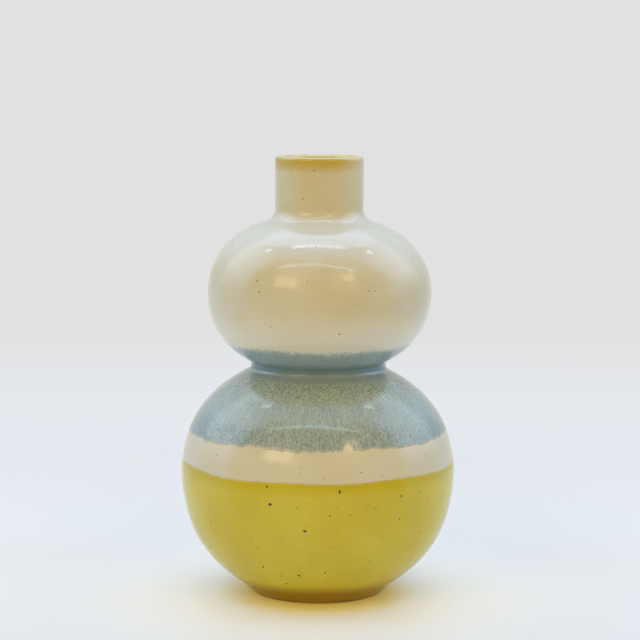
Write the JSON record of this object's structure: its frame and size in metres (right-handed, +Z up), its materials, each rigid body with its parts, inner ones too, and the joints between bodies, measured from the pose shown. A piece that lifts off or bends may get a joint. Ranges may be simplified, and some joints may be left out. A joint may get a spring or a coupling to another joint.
{
  "type": "double gourd vase",
  "caption": "Glazed stoneware vase with a double gourd outline, a narrow waist, a straight neck and a low foot ring, glazed in horizontal bands; holds water and stems.",
  "frame": {"origin": "centre of the foot ring, on the surface that the vase stands on", "axes": "+Z up along the axis of turning, towards the mouth; X and Y are free because the vase is round"},
  "size_m": [0.1752, 0.1752, 0.28],
  "materials": {
    "clay_body": "bare fired buff stoneware",
    "joint_slip": "bare fired slip",
    "yellow_glaze": "gloss, iron specks",
    "cream_glaze": "gloss, iron specks",
    "blue_glaze": "gloss, streaked",
    "ochre_glaze": "gloss",
    "liner_glaze": "gloss"
  },
  "bodies": {
    "root": {"foot_ring": "clay_body", "lower_bulb": "clay_body", "upper_bulb": "clay_body", "neck_collar": "clay_body", "foot_slip": "joint_slip", "waist_slip": "joint_slip", "neck_slip": "joint_slip", "yellow_glaze": "yellow_glaze", "cream_band_glaze": "cream_glaze", "blue_glaze": "blue_glaze", "upper_cream_glaze": "cream_glaze", "rim_glaze": "ochre_glaze", "liner_glaze": "liner_glaze"}
  },
  "joints": []
}
